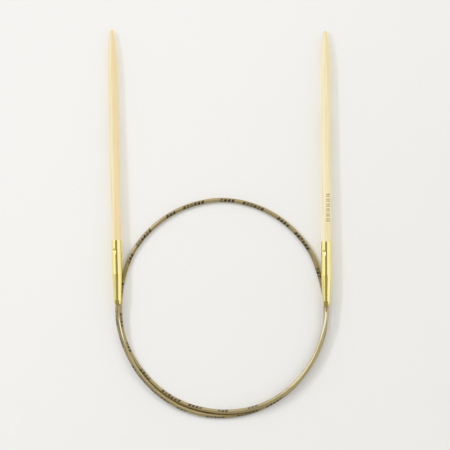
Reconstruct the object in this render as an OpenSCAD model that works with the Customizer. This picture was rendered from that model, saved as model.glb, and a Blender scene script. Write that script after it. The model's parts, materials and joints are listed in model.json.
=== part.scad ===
// Circular knitting needle: two pointed bamboo shanks in brass ferrules, joined by one nylon cord
// that lies in a loop of one and a half turns. +Y runs towards the points, +Z is up and z = 0 is
// the surface that it lies on.

/* [Needles] */
// Diameter of the shank, which is the knitting size
shank_d = 3.25; // [3:0.25:4]
// Length of one needle from the ferrule's mouth to the point
needle_len = 90; // [80:1:120]
// Length of the tapered point
point_len = 14.5; // [11:0.5:18]
// Radius of the rounded nose
nose_r = 0.6; // [0.4:0.1:0.8]
// Sideways lean of the left needle in degrees
left_lean = 1.3; // [0:0.1:2]
// Sideways lean of the right needle in degrees
right_lean = 0.2; // [0:0.1:2]

/* [Ferrules] */
// Length of the ferrule
ferrule_len = 21.1; // [20:0.1:24]
// Length of its straight sleeve
sleeve_len = 11.1; // [11:0.1:12]
// Length of the steep band at the mouth
band_len = 1.5; // [1.3:0.1:1.8]
// Outer diameter where the steep band meets the cone
band_d = 2.4; // [2.4:0.05:2.6]
// Outer diameter at the mouth
mouth_d = 2; // [1.9:0.05:2.2]
// Wall of the sleeve
wall = 0.25; // [0.2:0.05:0.3]
// Length of the bamboo tenon inside the sleeve
tenon_len = 9.7; // [8:0.1:10]
// Diameter of the round stake mark in the sleeve
stake_d = 0.8; // [0.6:0.1:0.9]
// Distance of the stake mark from the bamboo
stake_inset = 3.6; // [2:0.1:5]
// Turn of the stake mark to the left of the top in degrees
stake_turn = 34; // [0:1:90]

/* [Swivel pins] */
// Diameter of the neck that turns in the mouth
neck_d = 1.16; // [1:0.02:1.2]
// Radial clearance of the neck in the mouth
neck_gap = 0.04; // [0.02:0.01:0.1]
// Diameter of the captive head
head_d = 1.7; // [1.6:0.05:1.8]
// Thickness of the captive head
head_len = 0.8; // [0.6:0.1:1.2]
// Diameter of the collar outside the mouth
collar_d = 1.6; // [1.5:0.05:1.8]
// Thickness of the collar
collar_len = 0.4; // [0.3:0.05:0.4]
// Length of the barbed stem inside the cord
stem_len = 5; // [3:0.5:5]

/* [Cord] */
// Outer diameter of the cord
cord_d = 1.5; // [1.3:0.05:1.5]
// Distance between the rings of the cord's solid
ring_gap = 4.4; // [3:0.2:4.6]

/* [Hidden] */
$fn = 64;

// The middle of the loop, which puts the origin under the middle of the needles' own box.
loop_centre = [0.9, -42.6, 0];

// The cord's centreline from the left ferrule to the right one: angle round the loop in degrees,
// radius and height. The second turn lies inside the first one, and the cord rises onto itself
// below each ferrule.
ROUTE = [
    [180, 34.1, 2.95], [187, 34.25, 3], [194, 34.3, 2.6], [202, 34.4, 2.25],
    [214, 34.7, 2.1], [227, 35.1, 1.85], [240, 35.55, 1.55], [252, 35.9, 1.05],
    [264, 36, 0.75], [280, 35.85, 0.75], [296, 35.6, 0.75], [312, 35.1, 0.75],
    [328, 34.7, 0.75], [344, 34.5, 0.75], [360, 34, 0.75], [375, 33.5, 0.75],
    [390, 33.95, 0.75], [408, 34.15, 0.75], [428, 34.5, 0.75], [450, 34.8, 0.75],
    [472, 34.6, 0.75], [490, 34.35, 0.75], [508, 34.15, 0.75], [525, 33.6, 0.75],
    [540, 33.5, 0.75], [555, 33.75, 0.75], [572, 33.8, 0.75], [590, 34, 0.75],
    [606, 34.3, 0.75], [620, 34.4, 0.8], [633, 34.6, 1.6], [648, 34.85, 2.05],
    [661, 34.9, 2.2], [674, 34.8, 2.3], [686, 34.6, 2.35], [698, 34.3, 2.35],
    [706, 34.15, 2.65], [713, 34.25, 3], [719.3, 34.1, 2.95],
];
LAST = len(ROUTE) - 1;
// The points of the route at which the cord's five stretches meet. The cord flexes there.
SWING_LEFT = 3;
LIFT_LEFT = 7;
LIFT_RIGHT = 31;
SWING_RIGHT = 35;

shank_r = shank_d / 2;
sleeve_bore_r = shank_r - wall;
mouth_r = mouth_d / 2;
band_r = band_d / 2;
neck_r = neck_d / 2;
neck_bore_r = neck_r + neck_gap;
head_r = head_d / 2;
head_room_r = head_r + 0.13;
head_room_len = 2.5;
head_play = 0.1;
mouth_play = 0.2;
stem_r = 0.4;
barb_r = 0.46;
barb_pitch = 1.2;
stake_r = stake_d / 2;
stake_depth = 0.2;
stake_wall = 0.2;
edge = 0.1;
cone_len = ferrule_len - sleeve_len - band_len;
tenon_r = sleeve_bore_r - 0.01;
tenon_start = ferrule_len - tenon_len;
shoulder = needle_len - point_len;

// The cord's face lies this far outside the mouth, behind the collar.
cord_face = mouth_play + collar_len;

// The point is an arc that leaves the shank without a corner and meets the round nose the same way.
nose_rise = point_len - nose_r;
ogive_r = (shank_r^2 + nose_rise^2 - nose_r^2) / (2 * (shank_r - nose_r));
ogive_end = atan2(nose_rise, ogive_r - shank_r);

// Each needle slopes down from the cord's first height until its point's arc touches the surface.
arc_rise = ogive_r - shank_r;
arc_reach = shoulder + cord_face;
pitch = atan2(arc_rise, arc_reach) - asin((ogive_r - ROUTE[0][2]) / norm([arc_rise, arc_reach]));

function at(p) = loop_centre + [p[1] * cos(p[0]), p[1] * sin(p[0]), p[2]];
function unit(v) = v / norm(v);
function heading(lean) = [-sin(lean) * cos(pitch), cos(lean) * cos(pitch), -sin(pitch)];
function gap(i) = norm(at(ROUTE[i + 1]) - at(ROUTE[i]));
function slope(i) = (at(ROUTE[i + 1]) - at(ROUTE[i])) / gap(i);
// The cord's direction at a point: along the needle at both ends, and a mean of its neighbours'
// slopes between them.
function direction(i) =
    i == 0 ? -heading(left_lean)
    : i == LAST ? heading(right_lean)
    : (slope(i) * gap(i - 1) + slope(i - 1) * gap(i)) / (gap(i - 1) + gap(i));
function hermite(i, u) =
    (1 + 2 * u) * (1 - u)^2 * at(ROUTE[i])
    + u * (1 - u)^2 * gap(i) * direction(i)
    + u^2 * (3 - 2 * u) * at(ROUTE[i + 1])
    - u^2 * (1 - u) * gap(i) * direction(i + 1);
function steps(i) = max(1, round(gap(i) / ring_gap));
// The centres of the rings from one route point to another.
function centres(first, last) = [
    for (i = [first : last - 1], k = [0 : steps(i) - 1]) hermite(i, k / steps(i)),
    at(ROUTE[last]),
];
function tangent(c, k, start, end) =
    k == 0 ? unit(start)
    : k == len(c) - 1 ? unit(end)
    : unit(unit(c[k + 1] - c[k]) + unit(c[k] - c[k - 1]));
SIDES = 8;
function ring(centre, along) =
    let (side = unit(cross(along, [0, 0, 1])), up = cross(side, along))
    [
        for (k = [0 : SIDES - 1])
            let (a = (k + 0.5) * 360 / SIDES)
            centre + cord_d / 2 * (cos(a) * side + sin(a) * up),
    ];

// One stretch of the cord between two points of the route.
module cord_stretch(first, last) {
    c = centres(first, last);
    n = len(c);
    points = [
        for (k = [0 : n - 1])
            each ring(c[k], tangent(c, k, direction(first), direction(last))),
    ];
    walls = [
        for (k = [0 : n - 2], s = [0 : SIDES - 1])
            let (a = k * SIDES, t = (s + 1) % SIDES)
            [a + s, a + t, a + SIDES + t, a + SIDES + s],
    ];
    start_cap = [for (s = [SIDES - 1 : -1 : 0]) s];
    end_cap = [for (s = [0 : SIDES - 1]) (n - 1) * SIDES + s];
    color("darkkhaki")
        polyhedron(points = points, faces = concat(walls, [start_cap, end_cap]));
}

// Lays a piece that is drawn along +Z from the mouth onto the surface, with the point forwards.
module lay(cord_point, lean) {
    translate(at(cord_point) + cord_face * heading(lean))
        rotate([0, 0, lean])
            rotate([-90 - pitch, 0, 0])
                children();
}

// The bamboo shank with its point and its tenon.
module needle() {
    arc_steps = 24;
    nose_steps = 8;
    ogive = [
        for (k = [0 : arc_steps])
            let (a = ogive_end * k / arc_steps)
            [shank_r - ogive_r + ogive_r * cos(a), shoulder + ogive_r * sin(a)],
    ];
    nose = [
        for (k = [1 : nose_steps])
            let (a = ogive_end + (90 - ogive_end) * k / nose_steps)
            [k == nose_steps ? 0 : nose_r * cos(a), needle_len - nose_r + nose_r * sin(a)],
    ];
    tenon = [
        [0, tenon_start],
        [tenon_r - 2 * edge, tenon_start],
        [tenon_r, tenon_start + 2 * edge],
        [tenon_r, ferrule_len],
        [shank_r, ferrule_len],
    ];
    color("wheat")
        rotate_extrude()
            polygon(concat(tenon, ogive, nose));
}

// The drawn brass ferrule: a sleeve over the tenon, a cone, and a small mouth that holds the
// swivel pin's head inside.
module ferrule() {
    profile = [
        [neck_bore_r, 0],
        [mouth_r - edge, 0],
        [mouth_r, edge],
        [band_r, band_len],
        [shank_r, band_len + cone_len],
        [shank_r, ferrule_len],
        [sleeve_bore_r, ferrule_len],
        [sleeve_bore_r, band_len + cone_len],
        [head_room_r, band_len + head_room_len],
        [head_room_r, band_len],
        [neck_bore_r, band_len],
    ];
    stake_at = [-sin(stake_turn), -cos(stake_turn), 0] * (shank_r + stake_r - stake_depth)
        + [0, 0, ferrule_len - stake_inset];
    color("goldenrod")
        difference() {
            union() {
                rotate_extrude()
                    polygon(profile);
                intersection() {
                    translate(stake_at)
                        sphere(r = stake_r + stake_wall);
                    translate([0, 0, ferrule_len - 2 * stake_inset])
                        cylinder(r = shank_r - wall / 2, h = 2 * stake_inset);
                }
            }
            translate(stake_at)
                sphere(r = stake_r);
        }
}

// The steel swivel pin: a captive head, a neck in the mouth, a collar and a barbed stem.
module swivel_pin() {
    head_start = band_len + head_play;
    barbs = [
        for (z = [-cord_face - stem_len + edge : barb_pitch : -cord_face - barb_pitch])
            each [[stem_r, z], [barb_r, z + barb_pitch - edge], [stem_r, z + barb_pitch]],
    ];
    profile = concat(
        [[0, -cord_face - stem_len], [stem_r - edge, -cord_face - stem_len]],
        barbs,
        [
            [stem_r, -cord_face],
            [collar_d / 2, -cord_face],
            [collar_d / 2, -mouth_play],
            [neck_r, -mouth_play],
            [neck_r, head_start],
            [head_r, head_start],
            [head_r, head_start + head_len - edge],
            [head_r - edge, head_start + head_len],
            [0, head_start + head_len],
        ]
    );
    color("silver")
        rotate_extrude()
            polygon(profile);
}

module needle_left() {
    lay(ROUTE[0], left_lean) needle();
}

module needle_right() {
    lay(ROUTE[LAST], right_lean) needle();
}

module ferrule_left() {
    lay(ROUTE[0], left_lean) ferrule();
}

module ferrule_right() {
    lay(ROUTE[LAST], right_lean) ferrule();
}

module swivel_pin_left() {
    lay(ROUTE[0], left_lean) swivel_pin();
}

module swivel_pin_right() {
    lay(ROUTE[LAST], right_lean) swivel_pin();
}

needle_left();
needle_right();
ferrule_left();
ferrule_right();
swivel_pin_left();
swivel_pin_right();
cord_stretch(0, SWING_LEFT);  // cord_end_left
cord_stretch(SWING_RIGHT, LAST);  // cord_end_right
cord_stretch(SWING_LEFT, LIFT_LEFT);  // cord_lead_left
cord_stretch(LIFT_RIGHT, SWING_RIGHT);  // cord_lead_right
cord_stretch(LIFT_LEFT, LIFT_RIGHT);  // cord_middle
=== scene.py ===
import json
import math

import bpy
import numpy as np
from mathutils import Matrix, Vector


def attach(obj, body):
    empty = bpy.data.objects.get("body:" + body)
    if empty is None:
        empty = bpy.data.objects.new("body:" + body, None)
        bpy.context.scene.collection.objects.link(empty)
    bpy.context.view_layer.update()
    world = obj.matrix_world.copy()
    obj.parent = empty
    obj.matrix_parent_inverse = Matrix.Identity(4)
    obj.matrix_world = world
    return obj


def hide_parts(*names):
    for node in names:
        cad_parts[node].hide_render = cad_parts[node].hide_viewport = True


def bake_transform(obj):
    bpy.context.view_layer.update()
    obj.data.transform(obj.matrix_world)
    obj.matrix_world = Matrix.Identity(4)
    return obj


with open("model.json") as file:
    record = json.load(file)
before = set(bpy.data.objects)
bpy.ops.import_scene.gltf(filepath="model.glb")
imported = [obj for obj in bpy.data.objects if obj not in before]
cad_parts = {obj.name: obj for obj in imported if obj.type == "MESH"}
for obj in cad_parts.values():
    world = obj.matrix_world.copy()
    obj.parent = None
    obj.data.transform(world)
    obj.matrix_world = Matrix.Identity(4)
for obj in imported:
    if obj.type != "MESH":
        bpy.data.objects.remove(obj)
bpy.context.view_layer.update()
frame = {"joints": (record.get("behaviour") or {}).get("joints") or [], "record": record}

# A circular knitting needle. +Y runs towards the points, +Z is up, and z = 0 is the surface it
# lies on. Lengths are in metres, apart from names that end in _MM and the sizes and profiles of
# the needles, ferrules and pins, which are in millimetres.
MM = 0.001
JOINTS = {joint["name"]: joint for joint in frame["joints"]}
SIDES = ("left", "right")


# ---------------------------------------------------------------------------------------------
# Camera: straight down on the middle of the picture, through a long lens
# ---------------------------------------------------------------------------------------------
PICTURE_CENTRE = Vector((1.88 * MM, -16.0 * MM, 0))
PICTURE_WIDTH = 147.6 * MM
LENS_MM = 200
SENSOR_MM = 36


def make_camera():
    data = bpy.data.cameras.new("camera")
    data.lens = LENS_MM
    data.sensor_width = SENSOR_MM
    camera = bpy.data.objects.new("camera", data)
    distance = PICTURE_WIDTH * LENS_MM / SENSOR_MM
    camera.location = PICTURE_CENTRE + Vector((0, 0, distance))
    bpy.context.scene.collection.objects.link(camera)
    bpy.context.scene.camera = camera


make_camera()


# ---------------------------------------------------------------------------------------------
# The cord's centreline, through the same points as in the CAD source
# ---------------------------------------------------------------------------------------------
CORD_D = 1.5 * MM
LOOP_CENTRE = np.array((0.9, -42.6, 0)) * MM
# Angle round the loop in degrees, radius and height in millimetres, from the left ferrule on.
ROUTE = [
    (180, 34.1, 2.95), (187, 34.25, 3), (194, 34.3, 2.6), (202, 34.4, 2.25),
    (214, 34.7, 2.1), (227, 35.1, 1.85), (240, 35.55, 1.55), (252, 35.9, 1.05),
    (264, 36, 0.75), (280, 35.85, 0.75), (296, 35.6, 0.75), (312, 35.1, 0.75),
    (328, 34.7, 0.75), (344, 34.5, 0.75), (360, 34, 0.75), (375, 33.5, 0.75),
    (390, 33.95, 0.75), (408, 34.15, 0.75), (428, 34.5, 0.75), (450, 34.8, 0.75),
    (472, 34.6, 0.75), (490, 34.35, 0.75), (508, 34.15, 0.75), (525, 33.6, 0.75),
    (540, 33.5, 0.75), (555, 33.75, 0.75), (572, 33.8, 0.75), (590, 34, 0.75),
    (606, 34.3, 0.75), (620, 34.4, 0.8), (633, 34.6, 1.6), (648, 34.85, 2.05),
    (661, 34.9, 2.2), (674, 34.8, 2.3), (686, 34.6, 2.35), (698, 34.3, 2.35),
    (706, 34.15, 2.65), (713, 34.25, 3), (719.3, 34.1, 2.95),
]
FINE_STEPS = 40
RING_STEP = 0.4 * MM


def unit(v):
    return v / np.linalg.norm(v)


def route_points():
    angle, radius, height = np.array(ROUTE, float).T
    angle = np.radians(angle)
    flat = np.stack((radius * np.cos(angle), radius * np.sin(angle), height), axis=1)
    return LOOP_CENTRE + flat * MM


def route_directions(points, first, last):
    """The gaps between the points, and the line's direction at each point: first and last at its
    two ends, and elsewhere a mean of the slopes before and after the point."""
    steps = np.diff(points, axis=0)
    gaps = np.linalg.norm(steps, axis=1)
    slopes = steps / gaps[:, None]
    before, after = gaps[:-1, None], gaps[1:, None]
    inner = (slopes[1:] * before + slopes[:-1] * after) / (before + after)
    return gaps, np.vstack((first, inner, last))


def centreline():
    """Evenly spaced points from the left ferrule to the right one, and their distances along."""
    points = route_points()
    first = -unit(np.array(JOINTS["turn_left"]["axis"]))
    last = unit(np.array(JOINTS["turn_right"]["axis"]))
    gaps, along = route_directions(points, first, last)
    u = np.linspace(0, 1, FINE_STEPS, endpoint=False)[:, None]
    fine = [
        (1 + 2 * u) * (1 - u) ** 2 * points[i]
        + u * (1 - u) ** 2 * gaps[i] * along[i]
        + u**2 * (3 - 2 * u) * points[i + 1]
        - u**2 * (1 - u) * gaps[i] * along[i + 1]
        for i in range(len(points) - 1)
    ]
    fine = np.vstack(fine + [points[-1:]])
    travelled = np.append(0, np.cumsum(np.linalg.norm(np.diff(fine, axis=0), axis=1)))
    count = round(travelled[-1] / RING_STEP)
    even = np.linspace(0, travelled[-1], count + 1)
    line = np.stack([np.interp(even, travelled, fine[:, k]) for k in range(3)], axis=1)
    return line, even


LINE, ALONG = centreline()
CORD_LENGTH = float(ALONG[-1])

# Where the printed line runs round the cord: its turn from the top, outwards in degrees, at
# shares of the cord's length. The cord lies twisted by that much.
PRINT_AT = (0, 0.13, 0.27, 0.38, 0.42, 0.5, 0.66, 0.74, 0.8, 0.86, 0.92, 1)
PRINT_TURN = (80, 70, 55, -30, -15, -10, -8, -35, -45, -60, -120, -170)


# ---------------------------------------------------------------------------------------------
# Sizes of the needles, ferrules and swivel pins in millimetres. Places along a needle are
# distances from its ferrule's mouth, positive towards the point.
# ---------------------------------------------------------------------------------------------
SHANK_R = frame["record"]["mounts"][0]["dims"]["r_mm"]
NEEDLE_LEN = 90.0
SHOULDER = 75.5
NOSE_R = 0.6
TENON_START = 11.4
TENON_GAP = 0.01

FERRULE_LEN = 21.1
CONE_END = 10.0
BAND_LEN = 1.5
BAND_R = 1.2
MOUTH_R = 1.0
BORE_R = 0.62
HEAD_ROOM_LEN = 2.5
HEAD_ROOM_R = 0.98
SLEEVE_WALL = 0.25
SLEEVE_BORE_R = SHANK_R - SLEEVE_WALL

PIN_FACE = -0.6
COLLAR_LEN = 0.4
COLLAR_R = 0.8
STEM_LEN = 5.0
STEM_R = 0.4
NECK_R = 0.58
HEAD_START = 1.6
HEAD_LEN = 0.8
HEAD_R = 0.85


# ---------------------------------------------------------------------------------------------
# Mesh tools
# ---------------------------------------------------------------------------------------------
ROUND_STEPS = 5
LONGEST_RUN_MM = 0.6


def mesh_piece(name, verts, faces, uvs, material):
    """A smooth mesh object. uvs holds one (u, v) for each corner of each face."""
    data = bpy.data.meshes.new(name)
    data.from_pydata([tuple(v) for v in verts], [], faces)
    layer = data.uv_layers.new(name="UVMap")
    layer.data.foreach_set("uv", np.array(uvs, np.float32).ravel())
    data.polygons.foreach_set("use_smooth", [True] * len(data.polygons))
    data.materials.append(material)
    data.update()
    piece = bpy.data.objects.new(name, data)
    bpy.context.scene.collection.objects.link(piece)
    return piece


def grid_faces(rows, columns):
    """Quads between rings of vertices, with the ring and the unwrapped column of each corner."""
    faces, corners = [], []
    for i in range(rows - 1):
        n = i + 1
        for k in range(columns):
            m = (k + 1) % columns
            faces.append((i * columns + k, i * columns + m, n * columns + m, n * columns + k))
            corners += [(i, k), (i, k + 1), (n, k + 1), (n, k)]
    return faces, corners


def tube(name, line, along, twist, radius, segments, material):
    """A round tube along a line, closed by flat ends. U is the distance along the cord in
    millimetres, and V the turn from the line opposite the print."""
    ahead = np.gradient(line, axis=0)
    ahead /= np.linalg.norm(ahead, axis=1)[:, None]
    side = np.cross(ahead, (0, 0, 1))
    side /= np.linalg.norm(side, axis=1)[:, None]
    up = np.cross(side, ahead)
    turn = np.pi + twist[:, None] + 2 * np.pi * np.arange(segments)[None, :] / segments
    out = np.cos(turn)[..., None] * up[:, None] + np.sin(turn)[..., None] * side[:, None]
    rings = line[:, None] + radius * out
    last = len(line) - 1
    faces, corners = grid_faces(len(line), segments)
    faces.append(tuple(range(segments - 1, -1, -1)))
    corners += [(0, k) for k in range(segments - 1, -1, -1)]
    faces.append(tuple(last * segments + k for k in range(segments)))
    corners += [(last, k) for k in range(segments)]
    uvs = [(along[i] / MM, k / segments) for i, k in corners]
    return mesh_piece(name, rings.reshape(-1, 3), faces, uvs, material)


def needle_axes(side):
    """The mouth's middle, and the directions forwards, up and right of one needle."""
    joint = JOINTS[f"turn_{side}"]
    ahead = unit(np.array(joint["axis"]))
    right = unit(np.cross(ahead, (0, 0, 1)))
    return np.array(joint["pos_m"]), ahead, np.cross(right, ahead), right


def turned(name, side, profile, segments, material, closed=False, relief=None):
    """A turned piece on a needle's axis. profile is (distance from the mouth, radius), run so that
    the material lies on its inner side. An open profile starts and ends on the axis. U is the turn
    from the bottom, V the distance from the mouth. relief(t, r, turn) is added to the radius."""
    mouth, ahead, up, right = needle_axes(side)
    turn = np.pi + 2 * np.pi * np.arange(segments) / segments
    out = np.cos(turn)[:, None] * up + np.sin(turn)[:, None] * right
    verts, rings = [], []
    for t, r in profile:
        centre = mouth + t * MM * ahead
        first = len(verts)
        if r == 0:
            verts.append(centre)
            rings.append([first] * (segments + 1))
            continue
        radius = r + (relief(t, r, turn) if relief else np.zeros(segments))
        verts += list(centre + radius[:, None] * MM * out)
        rings.append([first + k % segments for k in range(segments + 1)])
    faces, uvs = [], []
    for i in range(len(profile) if closed else len(profile) - 1):
        n = (i + 1) % len(profile)
        for k in range(segments):
            corners = [(i, k), (i, k + 1), (n, k + 1), (n, k)]
            if profile[i][1] == 0:
                corners.pop(1)
            elif profile[n][1] == 0:
                corners.pop(2)
            faces.append([rings[row][column] for row, column in corners])
            uvs += [(column / segments, profile[row][0]) for row, column in corners]
    return mesh_piece(name, verts, faces, uvs, material)


def rounded(points, closed=False):
    """Rounds the corners of an outline of (distance, radius, rounding) and splits its long
    straight runs."""
    count = len(points)
    path = []
    for i, (t, r, bend) in enumerate(points):
        here = np.array((t, r), float)
        if bend == 0 or (not closed and i in (0, count - 1)):
            path.append(here)
            continue
        before = unit(np.array(points[i - 1][:2], float) - here)
        after = unit(np.array(points[(i + 1) % count][:2], float) - here)
        half = math.acos(np.clip(before @ after, -1, 1)) / 2
        reach = bend / math.tan(half)
        middle = here + unit(before + after) * bend / math.sin(half)
        start, end = here + before * reach, here + after * reach
        for share in np.linspace(0, 1, ROUND_STEPS):
            off_middle = start + (end - start) * share - middle
            path.append(middle + unit(off_middle) * bend)
    split = []
    for i, here in enumerate(path):
        split.append(here)
        if i + 1 == len(path) and not closed:
            break
        step = path[(i + 1) % len(path)] - here
        pieces = math.ceil(np.linalg.norm(step) / LONGEST_RUN_MM)
        split += [here + step * k / pieces for k in range(1, pieces)]
    return [(float(t), float(r)) for t, r in split]


# ---------------------------------------------------------------------------------------------
# Materials
# ---------------------------------------------------------------------------------------------
class Graph:
    """Nodes written as expressions."""

    def __init__(self, tree):
        self.tree = tree

    def node(self, kind, inputs=(), **settings):
        made = self.tree.nodes.new(kind)
        for key, value in settings.items():
            setattr(made, key, value)
        for socket, value in dict(inputs).items():
            self.put(made.inputs[socket], value)
        return made

    def put(self, socket, value):
        if isinstance(value, bpy.types.NodeSocket):
            self.tree.links.new(value, socket)
        else:
            socket.default_value = value

    def split(self, vector):
        return tuple(self.node("ShaderNodeSeparateXYZ", {0: vector}).outputs)

    def vector(self, *parts):
        return self.node("ShaderNodeCombineXYZ", dict(enumerate(parts))).outputs[0]

    def math(self, operation, *values):
        made = self.node("ShaderNodeMath", dict(enumerate(values)), operation=operation)
        return made.outputs[0]

    def product(self, value, *shares):
        for share in shares:
            value = self.math("MULTIPLY", value, share)
        return value

    def off(self, value, middle):
        """How far value is from middle."""
        return self.math("ABSOLUTE", self.math("SUBTRACT", value, middle))

    def inside(self, value, low, high):
        """1 where value is between low and high."""
        above = self.math("GREATER_THAN", value, low)
        return self.product(above, self.math("LESS_THAN", value, high))

    def eased(self, value, start, end):
        """A smooth step from one (value, result) to another."""
        inputs = {0: value, 1: start[0], 2: end[0], 3: start[1], 4: end[1]}
        made = self.node("ShaderNodeMapRange", inputs, interpolation_type="SMOOTHSTEP")
        return made.outputs[0]

    def around(self, turn, along, radius):
        """A place on a seamless round surface: distance along it, and its two distances across."""
        angle = self.math("MULTIPLY", turn, 2 * math.pi)
        return self.vector(
            along,
            self.math("MULTIPLY", self.math("COSINE", angle), radius),
            self.math("MULTIPLY", self.math("SINE", angle), radius),
        )

    def noise(self, place, stretch, detail=2.0, rough=0.5):
        inputs = {0: place, 1: stretch}
        scaled = self.node("ShaderNodeVectorMath", inputs, operation="MULTIPLY").outputs[0]
        inputs = {"Vector": scaled, "Scale": 1.0, "Detail": detail, "Roughness": rough}
        return self.node("ShaderNodeTexNoise", inputs).outputs["Fac"]

    def random(self, seed, output):
        """The Value or the Color that belongs to a whole number."""
        made = self.node("ShaderNodeTexWhiteNoise", {"W": seed}, noise_dimensions="1D")
        return made.outputs[output]

    def ramp(self, value, *stops):
        """stops are (position, grey or colour)."""
        made = self.node("ShaderNodeValToRGB", {0: value})
        band = made.color_ramp
        while len(band.elements) < len(stops):
            band.elements.new(0.5)
        for element, (position, shade) in zip(band.elements, stops):
            element.position = position
            element.color = (*(shade if isinstance(shade, tuple) else (shade,) * 3), 1)
        return made.outputs[0]

    def mix(self, share, first, second):
        made = self.node("ShaderNodeMix", data_type="RGBA")
        for socket, value in ((0, share), (6, first), (7, second)):
            self.put(made.inputs[socket], (*value, 1) if isinstance(value, tuple) else value)
        return made.outputs[2]

    def bump(self, height, strength, distance):
        inputs = {"Height": height, "Strength": strength, "Distance": distance}
        return self.node("ShaderNodeBump", inputs).outputs[0]


class Material(Graph):
    """A material with one main shader, and the UV map's two numbers as u and v."""

    def __init__(self, name, **constants):
        self.material = bpy.data.materials.new(name)
        self.material.use_nodes = True
        super().__init__(self.material.node_tree)
        self.shader = self.tree.nodes["Principled BSDF"]
        self.set(**constants)
        self.u, self.v, _ = self.split(self.node("ShaderNodeTexCoord").outputs["UV"])

    def set(self, **sockets):
        for socket, value in sockets.items():
            self.put(self.shader.inputs[socket.replace("_", " ")], value)


# The marks on the cord: slanted strokes, one to a step, with a group at the start of every
# GROUP_STEPS steps. A group has three to six strokes, and some strokes have a break in the middle.
STROKE_STEP_MM = 1.25
STROKE_SHARE = 0.66
STROKE_SLANT = 0.3
GROUP_STEPS = 8
LEAST_COUNT = 2
COUNT_RANGE = 4
STROKE_HALF_MM = 0.48
STROKE_EXTRA_MM = 0.25
WHOLE_SHARE = 0.65
BREAK_HALF_MM = 0.12
INK_TONE = (0.016, 0.011, 0.01)


def printed_marks(g, radius_mm):
    """Plain slanted strokes of mixed heights, in groups of mixed lengths. None is a letter."""
    across = g.math("MULTIPLY", g.math("SUBTRACT", g.v, 0.5), 2 * math.pi * radius_mm)
    slanted = g.math("ADD", g.u, g.math("MULTIPLY", across, STROKE_SLANT))
    beat = g.math("DIVIDE", slanted, STROKE_STEP_MM)
    stroke = g.math("FLOOR", beat)
    place = g.math("FLOORED_MODULO", stroke, GROUP_STEPS)
    group = g.math("FLOOR", g.math("DIVIDE", stroke, GROUP_STEPS))
    extra_strokes = g.math("MULTIPLY", g.random(group, "Value"), COUNT_RANGE)
    high, low, broken = g.split(g.random(stroke, "Color"))
    top = g.math("ADD", g.math("MULTIPLY", high, STROKE_EXTRA_MM), STROKE_HALF_MM)
    bottom = g.math("SUBTRACT", g.math("MULTIPLY", low, -STROKE_EXTRA_MM), STROKE_HALF_MM)
    break_half = g.math("MULTIPLY", g.math("GREATER_THAN", broken, WHOLE_SHARE), BREAK_HALF_MM)
    return g.product(
        g.inside(g.math("FRACT", beat), 0, STROKE_SHARE),
        g.math("LESS_THAN", place, g.math("ADD", extra_strokes, LEAST_COUNT)),
        g.inside(across, bottom, top),
        g.math("GREATER_THAN", g.math("ABSOLUTE", across), break_half),
    )


# Painted light at the cord's two ends: painted highlights where the pins' polished stems shine
# through the nylon, and painted dark streaks along the top near each mouth, where the stem shows
# through and the tube mirrors the dark opening overhead. Each row: which end, counted from the
# left needle, the streak's turn from the top in degrees, the distances in millimetres from that
# end over which it fades in and out, and its tone. Each is solid up to STREAK_CORE degrees from
# its middle and gone at STREAK_EDGE.
STREAK_CORE, STREAK_EDGE = 6, 28
STREAK_SHARE = 0.9
PAINTED_GLINT_TONE, PAINTED_SOFT_GLINT_TONE, PAINTED_DARK_STREAK_TONE = (1.0, 0.95, 0.78), (0.8, 0.72, 0.5), (0.24, 0.17, 0.08)
PAINTED_END_STREAKS = [
    (0, -38, (2.5, 5), (8, 14), PAINTED_SOFT_GLINT_TONE),
    (0, 5, (-1, 0), (1.5, 4), PAINTED_DARK_STREAK_TONE),
    (1, -12, (0.8, 2), (5, 14), PAINTED_GLINT_TONE),
    (1, 5, (-1, 0), (0.8, 1.6), PAINTED_DARK_STREAK_TONE),
]


def twist_near(end):
    """The cord's twist at one end in degrees, and how fast it changes away from that end, per
    millimetre."""
    first, second = (0, 1) if end == 0 else (-1, -2)
    span = abs(PRINT_AT[second] - PRINT_AT[first]) * CORD_LENGTH / MM
    return PRINT_TURN[first], (PRINT_TURN[second] - PRINT_TURN[first]) / span


def painted_end_streaks(g, body, to_far_end):
    """The cord's tone with the painted highlights and painted dark streaks at its ends laid over
    it.
    """
    for end, turn, fade_in, fade_out, tone in PAINTED_END_STREAKS:
        from_end = to_far_end if end else g.u
        twist, rate = twist_near(end)
        untwist = g.math("MULTIPLY", from_end, rate)
        place_turn = g.math("ADD", g.math("MULTIPLY", g.v, 360), untwist)
        streak_turn = g.math("FLOORED_MODULO", g.math("ADD", place_turn, twist - turn), 360)
        share = g.product(
            g.eased(g.off(streak_turn, 180), (STREAK_CORE, STREAK_SHARE), (STREAK_EDGE, 0)),
            g.eased(from_end, (fade_in[0], 0), (fade_in[1], 1)),
            g.eased(from_end, (fade_out[0], 1), (fade_out[1], 0)),
        )
        body = g.mix(share, body, tone)
    return body


# The cord is painted lighter towards its right end, a painted highlight on the strand that rises
# to the right needle, and each pin's stem shows faintly through the nylon.
SHEEN_FULL_MM, SHEEN_GONE_MM = 25, 45
STEM_SHOWS_MM = 4.0


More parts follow.
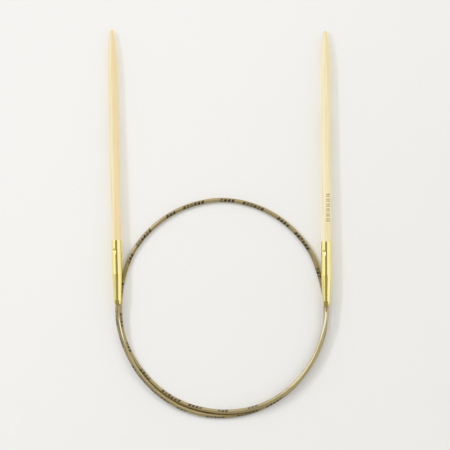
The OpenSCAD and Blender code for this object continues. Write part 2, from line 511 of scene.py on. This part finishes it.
def make_cord_material():
    """Gold-brown nylon with a metal sheen: drawn streaks, slow changes of tone, printed marks, a
    painted highlight that lightens the stretch near the right end, and painted highlights and dark
    streaks at both ends.
    """
    g = Material("cord_nylon", IOR=1.5, Coat_Weight=0.6, Coat_Roughness=0.15)
    radius_mm = CORD_D / MM / 2
    place = g.around(g.v, g.u, radius_mm)
    slow = g.noise(place, (0.08, 0.3, 0.3))
    streak = g.noise(place, (0.1, 3.5, 3.5), detail=2)
    body = g.ramp(slow, (0.35, (0.29, 0.235, 0.12)), (0.65, (0.36, 0.295, 0.16)))
    body = g.mix(g.ramp(streak, (0.45, 0.0), (0.75, 0.4)), body, (0.22, 0.17, 0.075))

    to_far_end = g.math("SUBTRACT", CORD_LENGTH / MM, g.u)
    # Painted highlight: the stretch near the right end is painted lighter.
    painted_sheen = g.eased(to_far_end, (SHEEN_FULL_MM, 0.6), (SHEEN_GONE_MM, 0))
    body = g.mix(painted_sheen, body, (0.52, 0.44, 0.24))
    past_stem = g.math("DIVIDE", g.math("MINIMUM", g.u, to_far_end), STEM_SHOWS_MM)
    stem = g.ramp(past_stem, (0.0, 0.75), (0.7, 0.55), (1.0, 0.0))
    body = g.mix(stem, body, (0.36, 0.27, 0.13))
    # Painted highlights and painted dark streaks at the two ends of the cord.
    body = painted_end_streaks(g, body, to_far_end)

    worn = g.ramp(g.noise(place, (1.5, 3, 3)), (0.35, 0.8), (0.6, 1.0))
    ink = g.math("MULTIPLY", printed_marks(g, radius_mm), worn)
    g.set(
        Base_Color=g.mix(ink, body, INK_TONE),
        Metallic=g.math("MULTIPLY", g.math("SUBTRACT", 1.0, ink), 0.55),
        Roughness=g.ramp(streak, (0.3, 0.4), (0.75, 0.52)),
        Normal=g.bump(streak, 0.1, 0.03 * MM),
    )
    return g.material


MOUTH_SHADE_REACH = 12.0


def make_brass():
    """Polished drawn brass: lengthwise lines, faint smudges, and painted shade that darkens it
    towards the mouth, where its end band mirrors the dim side of the studio.
    """
    g = Material("brass", Metallic=1.0)
    place = g.around(g.u, g.v, SHANK_R)
    lines = g.noise(place, (0.1, 4.5, 4.5), detail=3)
    smudge = g.noise(place, (0.35, 0.9, 0.9), detail=3)
    bright = g.ramp(smudge, (0.35, (0.90, 0.77, 0.30)), (0.7, (0.94, 0.83, 0.37)))
    from_mouth = g.math("DIVIDE", g.v, MOUTH_SHADE_REACH)
    # Painted shade: the brass is darker towards the mouth.
    mouth_shade = g.ramp(from_mouth, (0.0, 0.6), (0.11, 0.35), (0.16, 0.12), (1.0, 0.0))
    g.set(
        Base_Color=g.mix(mouth_shade, bright, (0.74, 0.58, 0.2)),
        Roughness=g.ramp(lines, (0.3, 0.11), (0.75, 0.2)),
        Normal=g.bump(lines, 0.12, 0.02 * MM),
    )
    return g.material


# The bars that stand in for the right needle's size mark: two in each step.
SIZE_MARK_START_MM = 27.4
SIZE_MARK_STEP_MM = 1.62
SIZE_MARK_COUNT = 6
SIZE_MARK_TURN = 25
SIZE_MARK_TONE = (0.11, 0.075, 0.04)
FIRST_BAR, SECOND_BAR = (0.1, 0.3), (0.5, 0.7)
BAR_HALF_MM = 0.7


def size_mark(g, place):
    """Pairs of plain bars in the place of the real needle's printed size."""
    turn = g.math("SUBTRACT", g.u, 0.5 + SIZE_MARK_TURN / 360)
    across = g.math("MULTIPLY", turn, 2 * math.pi * SHANK_R)
    beat = g.math("DIVIDE", g.math("SUBTRACT", g.v, SIZE_MARK_START_MM), SIZE_MARK_STEP_MM)
    phase = g.math("FRACT", beat)
    return g.product(
        g.math("ADD", g.inside(phase, *FIRST_BAR), g.inside(phase, *SECOND_BAR)),
        g.inside(beat, 0, SIZE_MARK_COUNT),
        g.inside(across, -BAR_HALF_MM, BAR_HALF_MM),
        g.ramp(g.noise(place, (2.5, 2.5, 2.5)), (0.35, 0.7), (0.6, 1.0)),
    )


FIBRE_WANDER = 1.2


def make_bamboo(name, pale, deep, shaded_turn, marked):
    """Satin lacquered bamboo with painted shade: one side, the given turn in degrees from the top,
    is painted deeper in tone for the darker half that the light leaves. It has long fibres, darker
    bundles and a warmer sanded point."""
    g = Material(name, Roughness=0.4, Coat_Weight=0.3, Coat_Roughness=0.2)
    place = g.around(g.u, g.v, SHANK_R)
    fibre = g.noise(place, (0.04, 1.7, 1.7), detail=4, rough=0.6)
    slow = g.noise(place, (0.02, 0.5, 0.5))
    bundle = g.noise(place, (0.06, 2.4, 2.4), detail=2)
    # Painted shade: the side away from the light is painted deeper in tone, with a fibrous edge.
    off_shaded_side = g.math("MULTIPLY", g.math("SUBTRACT", g.u, 0.5 + shaded_turn / 360), 2 * math.pi)
    wander = g.math("MULTIPLY", g.math("SUBTRACT", fibre, 0.5), FIBRE_WANDER)
    shaded_side = g.math("ADD", g.math("COSINE", off_shaded_side), wander)
    tone = g.mix(g.ramp(shaded_side, (0.62, 0.0), (0.8, 0.75)), pale, deep)
    tone = g.mix(g.ramp(fibre, (0.42, 0.0), (0.62, 0.75)), tone, deep)
    tone = g.mix(g.ramp(slow, (0.45, 0.0), (0.7, 0.35)), tone, deep)
    tone = g.mix(g.ramp(bundle, (0.52, 0.0), (0.64, 0.5)), tone, (0.66, 0.5, 0.24))
    along = g.math("DIVIDE", g.v, NEEDLE_LEN)
    point = g.ramp(along, (0.85, 0.0), (0.95, 0.1), (0.99, 0.6))
    tone = g.mix(point, tone, (0.80, 0.64, 0.32))
    if marked:
        tone = g.mix(size_mark(g, place), tone, SIZE_MARK_TONE)
    g.set(Base_Color=tone, Normal=g.bump(fibre, 0.15, 0.03 * MM))
    return g.material


def make_steel():
    """Turned steel with fine rings from the lathe. Its base colour is a dark warm brown: a painted
    reflection of the brass and nylon round it.
    """
    g = Material("swivel_steel", Metallic=1.0)
    rings = g.noise(g.vector(g.v, 0, 0), (12, 1, 1), detail=3)
    g.set(
        # Painted reflection: the steel's base colour is tinted warm brown.
        Base_Color=g.ramp(rings, (0.3, (0.38, 0.31, 0.19)), (0.7, (0.48, 0.40, 0.26))),
        Roughness=g.ramp(rings, (0.3, 0.25), (0.7, 0.4)),
        Normal=g.bump(rings, 0.15, 0.02 * MM),
    )
    return g.material


# ---------------------------------------------------------------------------------------------
# The cord: five stretches that meet face to face
# ---------------------------------------------------------------------------------------------
CORD_SEGMENTS = 24
# From each end of the cord: the end of its first stretch and of its second one.
END_MM = 30.5
LEAD_MM = 61
# Where the cord would bend about the joints' axes, as distances from its end; make_cord only
# looks up the points there and bends nothing.
SWING_BEND_MM = (17.5, 7)
LIFT_BEND_MM = (46.5, 39.5)


def from_needle(side, *distances_mm):
    """Distances along the cord, given those from one needle's end of it."""
    if side == "left":
        return [mm * MM for mm in distances_mm]
    return [CORD_LENGTH - mm * MM for mm in distances_mm]


def cord_point(distance):
    return np.array([np.interp(distance, ALONG, LINE[:, k]) for k in range(3)])


def cord_stretch(name, start, end, material):
    keep = (ALONG > start + RING_STEP / 3) & (ALONG < end - RING_STEP / 3)
    along = np.concatenate(([start], ALONG[keep], [end]))
    line = np.vstack((cord_point(start), LINE[keep], cord_point(end)))
    twist = np.interp(along, np.array(PRINT_AT) * CORD_LENGTH, np.radians(PRINT_TURN))
    piece = tube(name, line, along, twist, CORD_D / 2, CORD_SEGMENTS, material)
    return piece


def make_cord():
    material = make_cord_material()
    middle = cord_stretch("cord_loop", LEAD_MM * MM, CORD_LENGTH - LEAD_MM * MM, material)
    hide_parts("cord_middle")
    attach(middle, "loop")
    for side in SIDES:
        start, end = sorted(from_needle(side, 0, END_MM))
        swing = cord_stretch(f"cord_swing_{side}", start, end, material)
        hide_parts(f"cord_end_{side}")
        start, end = map(cord_point, from_needle(side, *SWING_BEND_MM))
        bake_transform(swing)
        start, end = sorted(from_needle(side, END_MM, LEAD_MM))
        lift = cord_stretch(f"cord_lift_{side}", start, end, material)
        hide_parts(f"cord_lead_{side}")
        start, end = map(cord_point, from_needle(side, *LIFT_BEND_MM))
        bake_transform(lift)


make_cord()


# ---------------------------------------------------------------------------------------------
# Needles, ferrules and swivel pins. The third number of a profile's corner is its rounding.
# ---------------------------------------------------------------------------------------------
NEEDLE_SEGMENTS = 96
FERRULE_SEGMENTS = 128
PIN_SEGMENTS = 64
POINT_STEPS, NOSE_STEPS = 40, 14


def needle_profile():
    """The tenon, the shank, and a point whose arc meets the shank and the round nose without a
    corner."""
    rise = NEEDLE_LEN - NOSE_R - SHOULDER
    arc_r = (SHANK_R**2 + rise**2 - NOSE_R**2) / (2 * (SHANK_R - NOSE_R))
    arc_end = math.atan2(rise, arc_r - SHANK_R)
    tenon_r = SLEEVE_BORE_R - TENON_GAP
    base = rounded([
        (TENON_START, 0, 0),
        (TENON_START, tenon_r, 0.15),
        (FERRULE_LEN, tenon_r, 0),
        (FERRULE_LEN, SHANK_R, 0.04),
        (SHOULDER, SHANK_R, 0),
    ])
    arc = [
        (SHOULDER + arc_r * math.sin(a), SHANK_R - arc_r + arc_r * math.cos(a))
        for a in np.linspace(0, arc_end, POINT_STEPS)[1:]
    ]
    nose = [
        (NEEDLE_LEN - NOSE_R + NOSE_R * math.sin(a), NOSE_R * math.cos(a))
        for a in np.linspace(arc_end, math.pi / 2, NOSE_STEPS)[1:-1]
    ]
    return base + arc + nose + [(NEEDLE_LEN, 0)]


# The stake mark: a nearly flat facet that deepens towards the mark from both sides, and a round
# dent in its deepest place.
STAKE_AT = FERRULE_LEN - 3.6
FACET_TURN = math.radians(-28)
FACET_DEPTH = 0.09
FACET_FLATNESS = 0.6
FACET_RAMP = 1.5
FACET_BACK = 1.3
FACET_BACK_CURVE = 1.5
DENT_TURN = math.radians(-33)
DENT_BEHIND = 0.18
DENT_R = 0.32
DENT_DEPTH = 0.08
STAKE_STEP = 0.08


def finer(profile, low, high):
    """Adds rings to the outer wall between two distances from the mouth, for the stake mark."""
    made = []
    for (t, r), (next_t, next_r) in zip(profile, profile[1:] + profile[:1]):
        made.append((t, r))
        if r == next_r == SHANK_R and low < t and next_t < high:
            pieces = math.ceil((next_t - t) / STAKE_STEP)
            made += [(t + (next_t - t) * k / pieces, r) for k in range(1, pieces)]
    return made


def ferrule_profile():
    corners = [
        (0, BORE_R, 0.05),
        (0, MOUTH_R, 0.12),
        (BAND_LEN, BAND_R, 0.6),
        (CONE_END, SHANK_R, 2.5),
        (FERRULE_LEN, SHANK_R, 0.06),
        (FERRULE_LEN, SLEEVE_BORE_R, 0.03),
        (CONE_END, SLEEVE_BORE_R, 0),
        (BAND_LEN + HEAD_ROOM_LEN, HEAD_ROOM_R, 0),
        (BAND_LEN, HEAD_ROOM_R, 0),
        (BAND_LEN, BORE_R, 0),
    ]
    profile = rounded(corners, closed=True)
    # Rounding errors would hide the outer wall from finer() and stake_mark().
    profile = [(t, SHANK_R if math.isclose(r, SHANK_R) else r) for t, r in profile]
    low = STAKE_AT - FACET_RAMP - LONGEST_RUN_MM
    high = STAKE_AT + FACET_BACK + LONGEST_RUN_MM
    return finer(profile, low, high)


def stake_mark(t, r, turn):
    """How far the stake mark moves the outer wall."""
    if r < SHANK_R:
        return np.zeros_like(turn)
    behind = t - STAKE_AT
    if behind < 0:
        share = max(0, 1 + behind / FACET_RAMP)
    else:
        share = max(0, 1 - behind / FACET_BACK) ** FACET_BACK_CURVE
    off_facet, off_dent = (
        (turn - middle + np.pi) % (2 * np.pi) - np.pi for middle in (FACET_TURN, DENT_TURN)
    )
    bulge = np.cos(np.clip(off_facet, -1, 1)) ** FACET_FLATNESS
    facet = (SHANK_R - FACET_DEPTH * share) / bulge - SHANK_R
    dent = 1 - ((off_dent * SHANK_R) ** 2 + (behind - DENT_BEHIND) ** 2) / DENT_R**2
    return np.minimum(facet, 0) - DENT_DEPTH * np.clip(dent, 0, None)


def pin_profile():
    """The stem inside the cord, the collar, the neck in the ferrule's mouth, and the head."""
    collar_end = PIN_FACE + COLLAR_LEN
    head_end = HEAD_START + HEAD_LEN
    return rounded([
        (PIN_FACE - STEM_LEN, 0, 0),
        (PIN_FACE - STEM_LEN, STEM_R, 0.08),
        (PIN_FACE, STEM_R, 0),
        (PIN_FACE, COLLAR_R, 0.18),
        (collar_end, COLLAR_R, 0.08),
        (collar_end, NECK_R, 0),
        (HEAD_START, NECK_R, 0),
        (HEAD_START, HEAD_R, 0.05),
        (head_end, HEAD_R, 0.15),
        (head_end, 0, 0),
    ])


def make_needle(side, bamboo):
    needle = turned(f"bamboo_needle_{side}", side, needle_profile(), NEEDLE_SEGMENTS, bamboo)
    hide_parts(f"needle_{side}")
    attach(needle, f"tip_{side}")


def make_ferrule(side, brass):
    ferrule = turned(
        f"brass_ferrule_{side}", side, ferrule_profile(), FERRULE_SEGMENTS, brass,
        closed=True, relief=stake_mark,
    )
    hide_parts(f"ferrule_{side}")
    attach(ferrule, f"tip_{side}")


def make_pin(side, steel):
    pin = turned(f"steel_swivel_{side}", side, pin_profile(), PIN_SEGMENTS, steel)
    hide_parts(f"swivel_pin_{side}")
    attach(pin, f"join_{side}")


def make_needles():
    brass, steel = make_brass(), make_steel()
    bamboo = {
        "left": make_bamboo(
            "bamboo_left", (0.97, 0.87, 0.60), (0.74, 0.585, 0.32), shaded_turn=40, marked=False,
        ),
        "right": make_bamboo(
            "bamboo_right", (0.985, 0.93, 0.66), (0.77, 0.64, 0.37), shaded_turn=60, marked=True,
        ),
    }
    for side in SIDES:
        make_needle(side, bamboo[side])
        make_ferrule(side, brass)
        make_pin(side, steel)


make_needles()


# ---------------------------------------------------------------------------------------------
# Floor and light
# ---------------------------------------------------------------------------------------------
FLOOR_HALF = 4.0
FLOOR_PALE, FLOOR_DULL = (0.94, 0.935, 0.925), (0.74, 0.735, 0.72)
# Painted shade across the floor: where it starts and ends along x - y, and how deep it goes.
FALLOFF_FROM, FALLOFF_TO = -0.2, 0.2
FALLOFF_SHARE, MOTTLE_SHARE = 0.85, 0.15
MOTTLES_PER_M = 60


def make_floor():
    """A pale surface with painted shade that darkens it towards the picture's lower right, as the
    light falls off across it, and faintly mottled. U and V are distances from its corner."""
    g = Material("floor", Roughness=0.8)
    mottle = g.noise(g.vector(g.u, g.v, 0), (MOTTLES_PER_M,) * 3, detail=3)
    # Painted shade: the floor darkens from the top left to the lower right.
    painted_falloff = g.eased(g.math("SUBTRACT", g.u, g.v), (FALLOFF_FROM, 0), (FALLOFF_TO, FALLOFF_SHARE))
    shade = g.math("ADD", painted_falloff, g.math("MULTIPLY", mottle, MOTTLE_SHARE))
    g.set(Base_Color=g.ramp(shade, (0.0, FLOOR_PALE), (1.0, FLOOR_DULL)))
    corners = [(-1, -1), (1, -1), (1, 1), (-1, 1)]
    verts = [(FLOOR_HALF * x, FLOOR_HALF * y, 0) for x, y in corners]
    uvs = [(FLOOR_HALF * (x + 1), FLOOR_HALF * (y + 1)) for x, y in corners]
    floor = mesh_piece("floor", verts, [(0, 1, 2, 3)], uvs, g.material)


KEY_PLACE = (-0.43, 0.29, 0.40)
KEY_WIDTH, KEY_LENGTH = 0.045, 0.44
KEY_RADIANCE = 28


def make_key_panel():
    """A long soft light that faces the line of the needles, with its length along them."""
    data = bpy.data.lights.new("key_panel", "AREA")
    data.shape = "RECTANGLE"
    data.size, data.size_y = KEY_WIDTH, KEY_LENGTH
    data.energy = KEY_RADIANCE * KEY_WIDTH * KEY_LENGTH * math.pi
    panel = bpy.data.objects.new("key_panel", data)
    panel.location = KEY_PLACE
    panel.rotation_euler = (0, math.atan2(KEY_PLACE[0], KEY_PLACE[2]), 0)
    bpy.context.scene.collection.objects.link(panel)


# The studio round the needles, as radiances by the parts of each direction's unit vector. It is a
# tent, brighter towards +Y than towards -Y, with a bright band from side to side that weakens at
# the horizon, a pale patch low towards -Y, a darker opening overhead, and a small glint low on the
# right.
TENT_TONE = (1, 0.995, 0.98, 1)
TENT_NEAR, TENT_FAR = 0.4, 1.5
NEAR_FROM, NEAR_TO = -0.16, 0.03
LOW_NEAR_RADIANCE = 0.7
LOW_NEAR_FROM, LOW_NEAR_TO = -0.9, -0.45
SIDE_RADIANCE = 1.25
SIDE_MIDDLE_Y, SIDE_HALF_Y = 0.12, 0.3
SIDE_FADE_X = 0.7
SIDE_LEAST = 0.2
OPENING_RADIANCE = 0.38
OPENING_MIDDLE_Y = -0.1
OPENING_HALF_X, OPENING_HALF_Y = 0.58, 0.42
OPENING_FULL, OPENING_GONE = 0.85, 1.2
GLINT_RADIANCE = 5
GLINT_Y, GLINT_HALF_Y = -0.13, 0.09
GLINT_FROM_X, GLINT_TO_X = 0.7, 0.85


def opening_share(g, x, y):
    """1 in the tent's oval opening, and 0 outside it."""
    off_x = g.math("DIVIDE", x, OPENING_HALF_X)
    off_y = g.math("DIVIDE", g.math("SUBTRACT", y, OPENING_MIDDLE_Y), OPENING_HALF_Y)
    squares = g.math("ADD", g.math("MULTIPLY", off_x, off_x), g.math("MULTIPLY", off_y, off_y))
    return g.eased(g.math("SQRT", squares), (OPENING_FULL, 1), (OPENING_GONE, 0))


def make_tent():
    world = bpy.data.worlds.new("studio")
    bpy.context.scene.world = world
    world.use_nodes = True
    g = Graph(world.node_tree)
    x, y, _ = g.split(g.node("ShaderNodeTexCoord").outputs["Generated"])
    tent = g.eased(y, (NEAR_FROM, TENT_NEAR), (NEAR_TO, TENT_FAR))
    low_near = g.eased(y, (LOW_NEAR_FROM, LOW_NEAR_RADIANCE), (LOW_NEAR_TO, 0))
    side = g.product(
        g.eased(g.off(y, SIDE_MIDDLE_Y), (0, SIDE_RADIANCE), (SIDE_HALF_Y, 0)),
        g.eased(g.math("ABSOLUTE", x), (SIDE_FADE_X, 1), (1, SIDE_LEAST)),
    )
    bright = g.math("ADD", g.math("ADD", tent, low_near), side)
    opening = opening_share(g, x, y)
    outside = g.math("MULTIPLY", g.math("SUBTRACT", 1, opening), bright)
    radiance = g.math("ADD", g.math("MULTIPLY", opening, OPENING_RADIANCE), outside)
    glint = g.product(
        g.eased(g.off(y, GLINT_Y), (0, GLINT_RADIANCE), (GLINT_HALF_Y, 0)),
        g.eased(x, (GLINT_FROM_X, 0), (GLINT_TO_X, 1)),
    )
    sky = world.node_tree.nodes["Background"]
    sky.inputs["Color"].default_value = TENT_TONE
    g.put(sky.inputs["Strength"], g.math("ADD", radiance, glint))


def make_light():
    make_tent()
    make_key_panel()
    bpy.context.scene.view_settings.view_transform = "Khronos PBR Neutral"


make_floor()
make_light()

bpy.context.view_layer.update()
